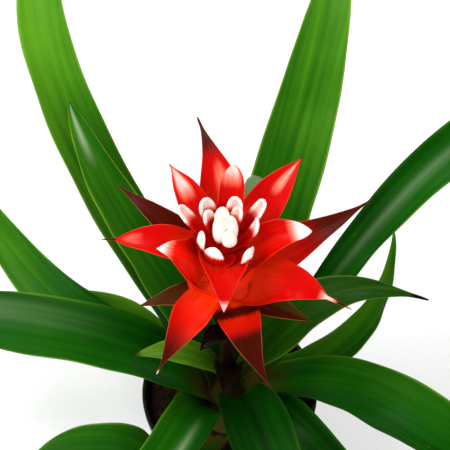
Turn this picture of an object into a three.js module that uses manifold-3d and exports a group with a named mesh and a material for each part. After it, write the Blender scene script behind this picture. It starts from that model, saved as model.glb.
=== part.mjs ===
// A potted star bromeliad: nursery pot, soil, stem, strap leaves, stalk leaves, star bracts, inner bracts, buds.
// Millimetres, +Z up. The origin is the middle of the pot's underside; the flower faces -Y.
import * as THREE from "three";
import { mergeVertices } from "three/addons/utils/BufferGeometryUtils.js";
import Module from "manifold-3d";

// Pot
const RIM_R = 62, RIM_H = 105, RIM_BAND = 9, RIM_LIP = 2.6;
const WALL_TOP_R = 59.4, BASE_R = 44, WALL = 1.6, FLOOR = 2.2;
const DRAIN_COUNT = 8, DRAIN_R = 4.2, DRAIN_AT = 30;
const FOOT_BEVEL = 1.5, BAND_STEP = 1.6; // at the wall's foot, and where the wall widens to the rim's band
const POT_SIDES = 44;
// Soil
const SOIL_TOP = 96.5, SOIL_MOUND = 1.8;
const SOIL_SHRINK = 0.7; // how far the root ball has drawn back from the wall
// Stem: [height, radius, x of its middle]; it leans a little to the left, and swells under the flower
const STEM = [
  [66, 9, 0], [80, 20, 0], [90, 31, 0], [96, 34, 0], [99, 30.5, 0], [104, 22, 0], [109, 14.5, 0],
  [114, 9.5, 0], [122, 7.2, -0.2], [140, 6, -0.6], [180, 5.2, -1.6], [230, 4.8, -2.9],
  [254, 5.2, -3.5], [262, 8.6, -3.7], [276, 8.2, -4], [286, 6.4, -4], [296, 4.2, -4], [306, 3, -4],
  [312, 2, -4],
];
const STEM_SIDES = 14;
const FLOWER_X = -4;
const GAP = 0.3;
// How a blade's foot clasps the stem: arc length to each side, and the most it wraps, in radians
const CLASP = 17, MOST_WRAP = 1.15;
const SHARP = 0.35; // half width at a blade's tip

// A blade's spine is a cubic through four points, each [azimuth, reach, height]:
// azimuth in degrees from +Y towards +X, reach from the plant's axis.
// half: half width; wrap: how far round the stem the foot goes, and cup: how far the blade's section curls,
// both in radians to each side; widest: where it is widest, from 0 at the foot to 1 at the tip;
// full and tail: how it narrows from there; edge: thickness of its margin against its middle.
const LEAF = {
  thick: 1.5, edge: 0.5, stations: 12, across: 4, widest: 0.45, full: 0.68, tail: 0.68, cup: 0.5, axis: 0,
};
const LEAVES = {
  leaf_01: { spine: [[18, 9.5, 108], [22, 23, 160], [31, 54, 215], [10, 88, 249]], half: 16, cup: 0.7,
    full: 0.42, tail: 0.42 },
  leaf_02: { spine: [[165, 11, 107], [152, 26, 168], [172, 72, 238], [161, 273, 148]], half: 21 },
  leaf_03: { spine: [[-40, 12.5, 106], [-40, 36, 185], [-56, 90, 240], [-38, 174, 262]], half: 16.5,
    cup: 0.6, full: 0.75, tail: 0.8 },
  leaf_04: { spine: [[102, 14, 105], [86, 113, 158], [131, 140, 208], [110, 300, 98]], half: 22 },
  leaf_05: { spine: [[-92, 15.5, 104], [-94, 35, 162], [-94, 112, 249], [-86, 312, 182]],
    half: 25, full: 0.88, cup: 0.6 },
  leaf_06: { spine: [[58, 17, 102.5], [68.6, 69, 182], [50, 147.6, 287], [53.2, 295.7, 223]],
    half: 17.7, wrap: 0.45, widest: 0.75 },
  leaf_07: { spine: [[-130, 18.5, 101.5], [-128, 34, 146], [-166.5, 67, 190], [-145, 242, 122]],
    half: 17.5, cup: 0.7 },
  leaf_08: { spine: [[20, 20, 100.5], [18, 51, 195], [25.4, 158, 310], [15.6, 301, 272]],
    half: 24.4, tail: 0.75, full: 0.96 },
  leaf_09: { spine: [[-50, 23, 98.5], [-34, 59, 177], [-49, 203, 294], [-25, 307, 263]],
    half: 19.3, tail: 0.5, full: 0.4 },
  leaf_10: { spine: [[122, 24.5, 97.5], [131, 46, 147], [146, 52, 192], [137.5, 250, 96]],
    half: 15, wrap: 0.5 },
  leaf_11: { spine: [[-72, 26, 97], [-71, 75.5, 179], [-102, 106, 182], [-50.4, 259, 132]],
    half: 17.3, full: 0.55 },
  leaf_12: { spine: [[76, 27.5, 96.5], [77.4, 61, 118], [76.4, 122, 138], [54, 138, 192]],
    half: 13.6, widest: 0.3, full: 1.1, tail: 1 },
  leaf_13: { spine: [[-158, 29, 96], [-154, 112, 122], [-119, 74, 176], [-109, 160, 70]], half: 20,
    wrap: 0.45 },
  leaf_14: { spine: [[-88, 30.5, 95.5], [-53.5, 63.5, 140], [-61, 113.5, 186], [-82.5, 236, 84]], half: 17 },
};
// Small leaves that clasp the flower stalk
const STALK_LEAF = {
  ...LEAF, thick: 1.2, stations: 9, across: 3, widest: 0.3, full: 1.05, tail: 1.1, cup: 0.6,
};
const STALK_LEAVES = {
  stalk_leaf_01: { spine: [[62, 6.5, 122], [75, 38.5, 176], [62, 60, 234], [81.7, 131, 203]],
    half: 19, widest: 0.33, full: 1.04, tail: 1 },
  stalk_leaf_02: { spine: [[-100, 6.2, 134], [-100, 20, 168], [-103, 36, 194], [-97, 66, 175]], half: 11 },
  stalk_leaf_03: { spine: [[-178, 6, 150], [-178, 14, 176], [-178, 26, 190], [-174, 40, 184]], half: 11,
    cup: 0.9 },
  stalk_leaf_04: { spine: [[-150, 5.6, 196], [-150, 12, 214], [-150, 22, 226], [-146, 34, 224]], half: 9,
    cup: 0.9 },
  stalk_leaf_05: { spine: [[28, 5.8, 164], [28, 14, 190], [30, 24, 206], [34, 32, 212]], half: 9, cup: 0.9,
    axis: -1.2 },
  stalk_leaf_06: { spine: [[-52, 5.4, 198], [-52, 12, 220], [-50, 20, 234], [-46, 27, 240]], half: 8.5,
    cup: 0.9, axis: -2 },
  stalk_leaf_07: { spine: [[96, 5.2, 214], [96, 12, 232], [94, 20, 244], [90, 29, 248]], half: 8.5,
    cup: 0.9, axis: -2.5 },
  stalk_leaf_08: { spine: [[-4, 5.2, 230], [-4, 11, 248], [-2, 18, 260], [2, 26, 264]], half: 8, cup: 0.9,
    axis: -3 },
};
// Star bracts: the long pointed ones, reach measured from the flower's own axis
const BRACT = {
  ...LEAF, thick: 1.1, edge: 0.6, stations: 9, across: 3, widest: 0.42, full: 1.1, tail: 0.5, cup: 0.6,
  axis: FLOWER_X,
};
const STAR_BRACTS = {
  star_bract_01: { spine: [[178, 4.5, 296], [178, 14, 306], [178, 26, 308], [180, 41, 298]], half: 12,
    wrap: 0.95, cup: 0.8, widest: 0.3, full: 1.1, tail: 0.9 },
  star_bract_02: { spine: [[8, 5, 294], [16, 13, 320], [12, 26, 334], [8, 42, 326]], half: 8.4, wrap: 0.95,
    cup: 0.8, full: 0.8, tail: 0.8 },
  star_bract_03: { spine: [[-34, 6.5, 288], [-44, 20, 311], [-36, 38, 322], [-33, 60, 314]], half: 10,
    wrap: 0.8, tail: 0.9 },
  star_bract_04: { spine: [[-108, 6.5, 284], [-126, 19, 299], [-108, 25, 314], [-97, 39, 308]], half: 12.5,
    wrap: 1.05, cup: 0.8, tail: 0.9 },
  star_bract_05: { spine: [[80, 5, 290], [92, 19, 305], [82, 34, 313], [81, 52, 306]], half: 11.5,
    wrap: 0.95, cup: 0.8, full: 0.8, tail: 0.8 },
  star_bract_06: { spine: [[40, 6.5, 286], [54, 22, 305], [42, 45, 318], [40, 74, 312]], half: 13,
    wrap: 0.8, full: 1, tail: 0.8 },
  star_bract_07: { spine: [[-80, 8, 280], [-74, 21, 302], [-87, 43, 306], [-85, 72, 300]], half: 12,
    wrap: 0.8, full: 0.8, tail: 0.7 },
  star_bract_08: { spine: [[-6, 8, 280], [6.7, 29.8, 306], [-7.3, 61.2, 314], [-10.2, 92.6, 306]],
    half: 13.8, wrap: 0.8, full: 1.6, tail: 0.3 },
  star_bract_09: { spine: [[114, 6.5, 284], [121, 23, 295], [117, 54, 300], [114, 81, 286]], half: 13,
    wrap: 0.8, full: 0.95, tail: 0.9 },
  star_bract_10: { spine: [[-152, 6.5, 282], [-154.5, 20, 277], [-154.5, 44, 299], [-148, 74, 262]],
    half: 12, widest: 0.6, wrap: 1.05, full: 1.05, tail: 0.4 },
  star_bract_11: { spine: [[76, 8, 277], [84, 28.7, 288], [76.4, 61.6, 296], [65.6, 98.1, 290]],
    half: 14.1, wrap: 0.8, full: 1.2, tail: 0.25 },
  star_bract_12: { spine: [[167, 8, 276], [160, 25, 268], [170, 52, 292], [158.5, 74, 256]],
    half: 14, wrap: 0.8, widest: 0.38, full: 1.05, tail: 0.5 },
  star_bract_13: { spine: [[-52, 9.5, 268], [-55, 25, 287], [-56, 52, 294], [-51, 84, 288]], half: 11,
    wrap: 0.7, full: 1.2, tail: 0.4 },
  star_bract_14: { spine: [[-116, 9.5, 264], [-134, 20, 270], [-118, 34, 274], [-109, 54, 262]], half: 9,
    wrap: 0.7 },
  star_bract_15: { spine: [[122, 9.5, 262], [132, 20, 268], [127, 37, 270], [117, 59, 260]], half: 11.5,
    wrap: 0.7 },
};
// Inner bracts: short, upright and hooded at the tip
const HOOD = { ...BRACT, edge: 0.7, stations: 7, widest: 0.5, full: 0.62, tail: 0.35, cup: 0.85 };
const INNER_BRACTS = {
  inner_bract_01: { spine: [[-45, 3.4, 304], [-46, 9, 312], [-46, 16.5, 324], [-46, 12.5, 326]], half: 4.2 },
  inner_bract_02: { spine: [[38, 3.4, 304], [38, 9, 313], [38, 17, 325], [36, 13.5, 327]], half: 3.8 },
  inner_bract_03: { spine: [[-150, 3.6, 298], [-154, 15, 299], [-153, 18, 313], [-153, 10, 315.5]],
    half: 6.6, cup: 0.6, widest: 0.62, full: 0.5, tail: 0.4 },
  inner_bract_04: { spine: [[-34, 3.6, 302], [-35, 12, 312], [-36, 23, 327], [-36, 17.5, 330]], half: 5.4 },
  inner_bract_05: { spine: [[24, 3.6, 302], [25, 11, 312], [25, 21, 328], [25, 16, 331]], half: 5.2 },
  inner_bract_06: { spine: [[82, 3.6, 300], [86, 12, 305], [84, 21.5, 316], [68, 20, 322]], half: 3.8 },
  inner_bract_07: { spine: [[-96, 3.6, 300], [-100, 12, 302], [-102, 18, 313], [-97, 11.5, 319]],
    half: 6, cup: 0.7, widest: 0.62, full: 0.5, tail: 0.4 },
  inner_bract_08: { spine: [[118, 3.6, 298], [124, 15, 299], [127, 22, 310], [122, 16.5, 314]],
    half: 6.6, cup: 0.6, widest: 0.62, full: 0.5, tail: 0.4 },
  inner_bract_09: { spine: [[-62, 4.2, 297], [-61, 16, 307], [-60, 33, 321], [-60, 28.5, 323]], half: 4 },
  inner_bract_10: { spine: [[54, 4.2, 297], [54, 16, 308], [54, 31, 323], [54, 28, 326]], half: 4.3 },
  inner_bract_11: { spine: [[176, 3.8, 297], [176, 8, 302], [177, 12, 305], [178, 16, 304]], half: 7,
    cup: 0.75, widest: 0.4, full: 0.9, tail: 0.9 },
};
// Buds: [x from the flower's axis, y, height of the middle, radius, half height, lean in degrees]
const BUDS = {
  bud_01: [-0.8, 7.4, 322, 4.6, 7, -20],
  bud_02: [-2.3, 0.8, 320, 4.2, 9.5, -18],
  bud_03: [3.8, 2.4, 318.5, 4.5, 9.1, -14],
  bud_04: [3.1, -4.2, 318, 4.5, 5.9, 0],
};

// Colours, roughness
const POT_SKIN = [0x231c19, 0.55], SOIL_SKIN = [0x2c2018, 0.95], STEM_SKIN = [0x6d7a2c, 0.6];
const LEAF_SKIN = [0x1f6d10, 0.38], STALK_SKIN = [0x4d7d1c, 0.45];
const RED_SKIN = [0xe2150a, 0.35], DARK_SKIN = [0x54160f, 0.45];
const HOOD_SKIN = [0xf2b8a8, 0.35], BUD_SKIN = [0xf5efd8, 0.35];
const DARK_BRACTS = ["star_bract_13", "star_bract_14", "star_bract_15", "stalk_leaf_03"];
const FLOWER_Z = 262; // where the lowest star bracts leave the stalk

const wasm = await Module();
wasm.setup();

const smooth = (t) => { t = Math.min(1, Math.max(0, t)); return t * t * (3 - 2 * t); };
const radians = THREE.MathUtils.degToRad;
const place = ([azimuth, reach, height], axis) => {
  const a = radians(azimuth);
  return new THREE.Vector3(axis + reach * Math.sin(a), reach * Math.cos(a), height);
};

// A closed geometry as a solid, with its faces turned outwards.
function solidOf(geometry) {
  const bare = new THREE.BufferGeometry().setAttribute("position", geometry.getAttribute("position"));
  if (geometry.index) bare.setIndex(geometry.index);
  const g = mergeVertices(bare, 1e-3), index = [], all = g.index.array;
  for (let i = 0; i < all.length; i += 3) {
    const [a, b, c] = all.slice(i, i + 3);
    if (a !== b && b !== c && c !== a) index.push(a, b, c);
  }
  const vertProperties = new Float32Array(g.getAttribute("position").array);
  const make = () =>
    new wasm.Manifold(new wasm.Mesh({ numProp: 3, vertProperties, triVerts: new Uint32Array(index) }));
  const solid = make();
  if (solid.volume() > 0) return solid;
  for (let i = 0; i < index.length; i += 3) [index[i + 1], index[i + 2]] = [index[i + 2], index[i + 1]];
  return make();
}

// A skin over rings of equal size. Each end is closed by strips between the paired points of its ring.
function loft(rings, pairs) {
  const n = rings[0].length, index = [], last = (rings.length - 1) * n;
  for (let i = 0; i + 1 < rings.length; i++)
    for (let j = 0; j < n; j++) {
      const a = i * n + j, b = i * n + ((j + 1) % n);
      index.push(a, b, b + n, a, b + n, a + n);
    }
  for (let k = 0; k + 1 < pairs.length; k++) {
    const [a, b] = pairs[k], [c, d] = pairs[k + 1];
    if (a !== b) index.push(a, b, d, last + a, last + d, last + b);
    if (c !== d) index.push(a, d, c, last + a, last + c, last + d);
  }
  return new THREE.BufferGeometry().setFromPoints(rings.flat()).setIndex(index);
}

// One blade along its spine; grow swells it on every side, which makes the cutter for the blades below.
function blade(spec, grow = 0) {
  const { spine, half, wrap = Math.min(MOST_WRAP, CLASP / spine[0][1]), cup, thick, edge } = spec;
  const { stations, across, widest, full, tail, axis } = spec;
  const curve = new THREE.CubicBezierCurve3(...spine.map((p) => place(p, axis)));
  const foot = spine[0][1] * wrap, rings = [];
  for (let i = 0; i < stations; i++) {
    const t = i / (stations - 1), at = curve.getPoint(t), along = curve.getTangent(t);
    const facing = radians(spine[0][0] + (spine[3][0] - spine[0][0]) * t);
    const side = new THREE.Vector3(Math.cos(facing), -Math.sin(facing), 0);
    side.addScaledVector(along, -side.dot(along)).normalize();
    const up = new THREE.Vector3().crossVectors(side, along);
    const q = Math.max(0, (t - widest) / (1 - widest));
    const taper = Math.pow(1 - q, full) * (1 + tail * q);
    const w = Math.max(SHARP, (foot + (half - foot) * smooth(t / widest)) * taper) + grow;
    const curl = (wrap + (cup - wrap) * smooth(t / 0.4)) * (full > 0.5 ? 1 - 0.5 * q : 1);
    const radius = w / curl, h = thick * (0.45 + 0.55 * Math.min(1, w / (0.5 * half)));
    if (i === stations - 1) at.addScaledVector(along, grow);
    const top = [], under = [];
    for (let k = 0; k <= across; k++) {
      const u = (2 * k) / across - 1, phi = u * curl;
      const mid = at.clone().addScaledVector(side, radius * Math.sin(phi));
      mid.addScaledVector(up, radius * (1 - Math.cos(phi)));
      const out = side.clone().multiplyScalar(-Math.sin(phi)).addScaledVector(up, Math.cos(phi));
      const d = (h / 2) * (edge + (1 - edge) * (1 - u * u)) + grow;
      top.push(mid.clone().addScaledVector(out, d));
      under.unshift(mid.clone().addScaledVector(out, -d));
    }
    rings.push([...top, ...under]);
  }
  return loft(rings, Array.from({ length: across + 1 }, (_, k) => [k, 2 * across + 1 - k]));
}

// A lathe turned about +Z from [radius, height] points.
const turned = (profile) =>
  new THREE.LatheGeometry(profile.map(([r, z]) => new THREE.Vector2(r, z)), POT_SIDES).rotateX(Math.PI / 2);

function stem(grow = 0) {
  const rings = STEM.map(([z, r, x], i) => {
    const end = i === STEM.length - 1 ? grow : i === 0 ? -grow : 0;
    return Array.from({ length: STEM_SIDES }, (_, k) => {
      const a = (2 * Math.PI * k) / STEM_SIDES;
      return new THREE.Vector3(x + (r + grow) * Math.cos(a), (r + grow) * Math.sin(a), z + end);
    });
  });
  const half = STEM_SIDES / 2;
  return loft(rings, Array.from({ length: half + 1 }, (_, k) => [k, (STEM_SIDES - k) % STEM_SIDES]));
}

const bud = ([x, y, z, r, h, lean], grow = 0) =>
  new THREE.SphereGeometry(1, 10, 7)
    .scale(r + grow, h + grow, r + grow)
    .rotateX(radians(90 + lean))
    .translate(FLOWER_X + x, y, z);

function pot() {
  const inner = WALL_TOP_R - WALL, band = RIM_H - RIM_BAND;
  let shell = solidOf(turned([
    [0, 0], [BASE_R - FOOT_BEVEL, 0], [BASE_R, FOOT_BEVEL], [WALL_TOP_R, band - BAND_STEP],
    [RIM_R - 0.4, band], [RIM_R, RIM_H - 1], [RIM_R - 0.8, RIM_H], [RIM_R - RIM_LIP, RIM_H - 0.6],
    [RIM_R - RIM_LIP, band], [inner, band - BAND_STEP], [BASE_R - WALL, FLOOR], [0, FLOOR],
  ]));
  for (let i = 0; i < DRAIN_COUNT; i++) {
    const a = (2 * Math.PI * (i + 0.5)) / DRAIN_COUNT;
    const drill = new THREE.CylinderGeometry(DRAIN_R, DRAIN_R, FLOOR + 2, 10).rotateX(Math.PI / 2);
    drill.translate(DRAIN_AT * Math.cos(a), DRAIN_AT * Math.sin(a), FLOOR / 2);
    shell = shell.subtract(solidOf(drill));
  }
  return shell;
}

function soil() {
  const slope = (WALL_TOP_R - BASE_R) / (RIM_H - RIM_BAND - FOOT_BEVEL - BAND_STEP);
  const wall = (z) => BASE_R - WALL + slope * (z - FLOOR) - SOIL_SHRINK;
  return turned([
    [0, FLOOR + GAP], [wall(FLOOR), FLOOR + GAP], [wall(SOIL_TOP - 5), SOIL_TOP - 5],
    [wall(SOIL_TOP - 5) - 2, SOIL_TOP - 1.5], [46, SOIL_TOP], [34, SOIL_TOP + SOIL_MOUND],
    [0, SOIL_TOP + SOIL_MOUND],
  ]);
}

// The scene: potting, rosette and stalk stand on the pot's axis, and the flower on its own.
const bromeliad = new THREE.Group();
const groups = {};
for (const [name, x, z] of [
  ["potting", 0, 0], ["rosette", 0, SOIL_TOP], ["stalk", 0, SOIL_TOP], ["flower", FLOWER_X, FLOWER_Z],
]) {
  groups[name] = new THREE.Group();
  groups[name].name = name;
  groups[name].position.set(x, 0, z);
  bromeliad.add(groups[name]);
}

function add(name, group, solid, [color, roughness]) {
  const { numProp, numVert, vertProperties, triVerts } = solid.getMesh();
  const points = new Float32Array(numVert * 3);
  for (let i = 0; i < numVert; i++) points.set(vertProperties.subarray(i * numProp, i * numProp + 3), i * 3);
  const geometry = new THREE.BufferGeometry()
    .setAttribute("position", new THREE.BufferAttribute(points, 3))
    .setIndex(new THREE.BufferAttribute(new Uint32Array(triVerts), 1));
  const centre = geometry.computeBoundingBox() ?? geometry.boundingBox.getCenter(new THREE.Vector3());
  geometry.translate(-centre.x, -centre.y, -centre.z).computeVertexNormals();
  const mesh = new THREE.Mesh(geometry, new THREE.MeshStandardMaterial({ color, roughness, metalness: 0 }));
  mesh.name = name;
  mesh.position.copy(centre).sub(groups[group].position);
  groups[group].add(mesh);
}

// Every piece in the order it is laid: the middle of the flower first, then outwards and down.
const pieces = [["stem", "stalk", stem(), stem(GAP), STEM_SKIN]];
for (const [name, spec] of Object.entries(BUDS))
  pieces.push([name, "flower", bud(spec), bud(spec, GAP), BUD_SKIN]);
for (const [group, base, set, skin] of [
  ["flower", HOOD, INNER_BRACTS, HOOD_SKIN], ["flower", BRACT, STAR_BRACTS, RED_SKIN],
  ["stalk", STALK_LEAF, STALK_LEAVES, STALK_SKIN], ["rosette", LEAF, LEAVES, LEAF_SKIN],
])
  for (const [name, spec] of Object.entries(set)) {
    const full = { ...base, ...spec };
    pieces.push([name, group, blade(full), blade(full, GAP), DARK_BRACTS.includes(name) ? DARK_SKIN : skin]);
  }
pieces.push(["soil", "potting", soil(), null, SOIL_SKIN]);

// A piece is cut back where it meets one already laid, and stays one body.
const apart = (a, b) => {
  const p = a.boundingBox(), q = b.boundingBox();
  return [0, 1, 2].some((k) => p.max[k] < q.min[k] || q.max[k] < p.min[k]);
};
const laid = [];
for (const [name, group, shape, swollen, skin] of pieces) {
  let solid = solidOf(shape);
  for (const other of laid) if (!apart(solid, other)) solid = solid.subtract(other);
  const bodies = solid.decompose().sort((a, b) => b.volume() - a.volume());
  if (swollen) laid.push(solidOf(swollen));
  add(name, group, bodies[0], skin);
}
add("pot", "potting", pot(), POT_SKIN);

export default bromeliad;
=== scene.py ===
"""A potted star bromeliad: pot, soil, stem, leaves, bracts and buds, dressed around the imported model."""
import math

import bmesh
import bpy
import numpy as np
from bpy.props import FloatProperty, FloatVectorProperty, IntProperty, PointerProperty
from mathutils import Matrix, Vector, noise


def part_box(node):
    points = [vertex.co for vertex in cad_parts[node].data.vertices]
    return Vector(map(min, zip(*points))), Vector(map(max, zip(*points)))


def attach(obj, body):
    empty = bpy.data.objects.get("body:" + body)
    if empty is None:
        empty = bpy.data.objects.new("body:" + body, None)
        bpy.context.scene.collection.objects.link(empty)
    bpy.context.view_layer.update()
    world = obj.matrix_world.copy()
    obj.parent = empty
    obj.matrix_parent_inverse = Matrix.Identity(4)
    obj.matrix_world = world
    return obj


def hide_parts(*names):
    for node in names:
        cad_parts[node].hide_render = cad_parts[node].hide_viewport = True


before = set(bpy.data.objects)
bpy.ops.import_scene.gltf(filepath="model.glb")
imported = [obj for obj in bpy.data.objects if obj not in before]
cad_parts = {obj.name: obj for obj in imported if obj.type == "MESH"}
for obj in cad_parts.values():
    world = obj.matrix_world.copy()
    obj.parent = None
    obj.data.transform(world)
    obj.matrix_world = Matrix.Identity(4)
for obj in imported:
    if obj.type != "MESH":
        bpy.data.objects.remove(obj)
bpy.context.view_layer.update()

bl_info = {
    "name": "Potted Star Bromeliad",
    "version": (1, 0, 0),
    "blender": (4, 5, 0),
    "location": "3D View > Sidebar > Bromeliad",
    "description": "Grows a star bromeliad in its nursery pot",
    "category": "Add Mesh",
}

MM = 0.001
TURN = 2 * math.pi
BODY = "root"

# ---------------------------------------------------------------- shapes
# Pot and soil, in millimetres; the pot's own node gives the rim's radius and height
POT_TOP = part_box("pot")[1]
RIM_R, RIM_H = POT_TOP.x / MM, POT_TOP.z / MM
RIM_BAND, RIM_LIP, WALL_TOP_R, BASE_R = 9, 2.6, 59.4, 44
BAND_H = RIM_H - RIM_BAND
WALL, FLOOR = 1.6, 2.2
WALL_FROM, WALL_TO = 1.5, BAND_H - 1.6
BEADS, BEAD_HALF, BEAD_RISE = (30, BAND_H - 12), 1.2, 0.35
FOOT_RING = ((0, 0.9), (24, 0.9), (36, 0.9), (37, 0.3), (38, 0))
POT_SIDES, POT_CREASE = 176, math.radians(38)
DRAIN_COUNT, DRAIN_R, DRAIN_AT = 8, 4.2, 30
SOIL_TOP, SOIL_GAP, SOIL_SIDES, SOIL_RINGS = 96.5, 0.7, 120, 40
# The soil's surface: (reach, height), a low mound that falls away at the pot's wall
SOIL_LEVELS = ((0, 98.3), (34, 98.3), (46, SOIL_TOP), (55, SOIL_TOP - 1.5), (57.2, SOIL_TOP - 4.5))
# The bed that crumbs and bark are strewn on: inner and outer reach, and its lift over the soil
BED_FROM, BED_TO, BED_LIFT, BED_SIDES, BED_RINGS = 30, 56.2, 0.4, 96, 8
# Stem: (height, radius, x of its middle)
STEM = (
    (66, 9, 0), (80, 20, 0), (90, 31, 0), (96, 34, 0), (99, 30.5, 0), (104, 22, 0), (109, 14.5, 0),
    (114, 9.5, 0), (122, 7.2, -0.2), (140, 6, -0.6), (180, 5.2, -1.6), (230, 4.8, -2.9), (254, 5.2, -3.5),
    (262, 8.6, -3.7), (276, 8.2, -4), (286, 6.4, -4), (296, 4.2, -4), (306, 3, -4), (312, 2, -4),
)
STEM_STEP, STEM_SIDES = 1.5, 48
FLOWER_X = -4

# A blade's spine is a cubic with four points, each (azimuth in degrees from +Y towards +X, reach from the
# axis, height). Lengths are in millimetres and angles in radians; t runs from 0 at the foot to 1 at the tip.
#   half, widest, full, tail: half width, the t where the blade has it, and how bluntly it tapers from there
#   nib: (part of the length, part of the width) of the drawn-out tip
#   thick, margin: thickness at the middle, and what part of it the margins keep
#   wrap, cup: how far the section goes round to each side, at the foot and in the blade
#   fold, wave, waves: extra crease along the middle; height and number of the ripples in the margins
#   sheath, lap: the t below which the section bends round the axis; extra wrap of its (left, right) margin
#   skirt, hem, barrel: how far those margins drop; the t from and to which that fades; the reach they clear
#   stations, across, crowd: the mesh along and across; crowd above 1 packs the stations towards the tip
#   shade: (level, rise along the blade, tilt across it) of the blade's tone and of the painted light and
#       shade on it
#   pale: (from, to, softness, strength, half width, middle across the blade) of a light patch
#   dark, gloom: (from, softness, strength) of a dark tip; (from, to, softness, strength) of a band of
#       painted shadow
def row(*spine, **rest):
    """One blade's line in the tables."""
    return {"spine": spine, **rest}


LEAF = dict(thick=1.5, margin=0.28, widest=0.45, full=0.68, tail=0.68, nib=(0, 0), cup=0.5, axis=0,
    wave=1.1, waves=2.3, sheath=0, lap=(0, 0), skirt=(0, 0), hem=(0.3, 0.7), barrel=20, fold=0, pale=None,
    dark=(0, 0.14, 0.9), gloom=None, stations=90, across=22, crowd=1, shade=(0.45, 0.25, 0))
# On the leaves, shade paints the light and shade that fall on each blade, lighter at lit tips and sides, as
# well as its tone
LEAVES = {
    # pale on leaf_01, 03, 05, 06 and 07 paints a sheen where light glints along the leaf
    "leaf_01": row((18, 9.5, 108), (22, 23, 160), (31, 54, 215), (10, 88, 249), half=16, full=0.42,
        tail=0.42, cup=0.7, pale=(0.7, 1.2, 0.2, 0.75, 1.2, 0), shade=(0.3, 0.1, 0)),
    "leaf_02": row((165, 11, 107), (152, 26, 168), (172, 72, 238), (161, 273, 148), half=21,
        shade=(0.24, 0.35, -0.05)),
    "leaf_03": row((-40, 12.5, 106), (-40, 36, 185), (-56, 90, 240), (-38, 174, 262), half=16.5, full=0.75,
        tail=0.8, cup=0.6, pale=(0.84, 1, 0.06, 1.6, 0.2, -0.15), shade=(0.42, 0.35, -0.1)),
    "leaf_04": row((102, 14, 105), (86, 113, 158), (131, 140, 208), (110, 300, 98), half=22,
        shade=(0.38, 0.1, -0.14)),
    "leaf_05": row((-92, 15.5, 104), (-94, 35, 162), (-94, 112, 249), (-86, 312, 182), half=25, full=0.88,
        cup=0.6, pale=(0.45, 1.2, 0.2, 0.42, 0.35, 0.42), shade=(0.38, 0.25, -0.02)),
    "leaf_06": row((58, 17, 102.5), (68.6, 69, 182), (50, 147.6, 287), (53.2, 295.7, 223), half=17.7,
        wrap=0.45, widest=0.75, pale=(0.34, 0.92, 0.2, 0.55, 0.1, 0), shade=(0.3, 0.1, 0.08)),
    "leaf_07": row((-130, 18.5, 101.5), (-128, 34, 146), (-166.5, 67, 190), (-145, 242, 122), half=17.5,
        cup=0.7, fold=0.8, pale=(0.26, 1.2, 0.1, 1.7, 0, -0.35), shade=(0.36, -0.1, 0.1)),
    "leaf_08": row((20, 20, 100.5), (18, 51, 195), (25.4, 158, 310), (15.6, 301, 272), half=24.4, tail=0.75,
        full=0.96, shade=(0.55, 0.45, 0.06)),
    "leaf_09": row((-50, 23, 98.5), (-34, 59, 177), (-49, 203, 294), (-25, 307, 263), half=19.3, tail=0.5,
        full=0.4, shade=(0.62, 0.85, -0.08)),
    "leaf_10": row((122, 24.5, 97.5), (131, 46, 147), (146, 52, 192), (137.5, 250, 96), half=15, wrap=0.5,
        shade=(0.2, 0.2, 0)),
    "leaf_11": row((-72, 26, 97), (-71, 75.5, 179), (-102, 106, 182), (-50.4, 259, 132), half=17.3,
        full=0.55, shade=(0.5, 0.5, -0.08)),
    "leaf_12": row((76, 27.5, 96.5), (77.4, 61, 118), (76.4, 122, 138), (54, 138, 192), half=13.6,
        widest=0.3, full=1.1, tail=1, shade=(0.6, 0.35, -0.1)),
    "leaf_13": row((-158, 29, 96), (-154, 112, 122), (-119, 74, 176), (-109, 160, 70), half=20, wrap=0.45,
        shade=(0.4, 0.2, 0.1)),
    "leaf_14": row((-88, 30.5, 95.5), (-53.5, 63.5, 140), (-61, 113.5, 186), (-82.5, 236, 84), half=17,
        shade=(0.85, 0.2, 0)),
}
STALK_LEAF = dict(LEAF, thick=1.2, margin=0.22, widest=0.3, full=1.05, tail=1.1, cup=0.6, wave=0.5,
    waves=1.6, stations=60, across=18, dark=(0.9, 0.06, 0.7))
# stalk_leaf_03 and 04 have a low shade and a dark skin, which paints them near black: painted shade deep in
# the crown
STALK_LEAVES = {
    "stalk_leaf_01": row((62, 6.5, 122), (75, 38.5, 176), (62, 60, 234), (81.7, 131, 203), half=19,
        widest=0.33, wave=0.9, full=1.04, tail=1, nib=(0.05, 0.07), dark=(0.93, 0.04, 1),
        shade=(0.2, 0.1, 0)),
    "stalk_leaf_02": row((-100, 6.2, 134), (-100, 20, 168), (-103, 36, 194), (-97, 66, 175), half=11,
        shade=(0.6, 0.2, 0)),
    "stalk_leaf_03": row((-178, 6, 150), (-178, 14, 176), (-178, 26, 190), (-174, 40, 184), half=11,
        cup=0.9, dark=(-0.2, 0.1, 1), shade=(0.1, 0, 0)),
    "stalk_leaf_04": row((-150, 5.6, 196), (-150, 12, 214), (-150, 22, 226), (-146, 34, 224), half=9,
        cup=0.9, dark=(-0.1, 0.3, 0.85), shade=(0.2, 0, 0)),
    "stalk_leaf_05": row((28, 5.8, 164), (28, 14, 190), (30, 24, 206), (34, 32, 212), half=9, cup=0.9,
        axis=-1.2, shade=(0.4, 0.2, 0)),
    "stalk_leaf_06": row((-52, 5.4, 198), (-52, 12, 220), (-50, 20, 234), (-46, 27, 240), half=8.5, cup=0.9,
        axis=-2, shade=(0.4, 0.2, 0)),
    "stalk_leaf_07": row((96, 5.2, 214), (96, 12, 232), (94, 20, 244), (90, 29, 248), half=8.5, cup=0.9,
        axis=-2.5, dark=(0.3, 0.3, 0.7), shade=(0.4, 0, 0)),
    "stalk_leaf_08": row((-4, 5.2, 230), (-4, 11, 248), (-2, 18, 260), (2, 26, 264), half=8, cup=0.9,
        axis=-3, dark=(0.3, 0.3, 0.7), shade=(0.4, 0, 0)),
}
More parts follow.
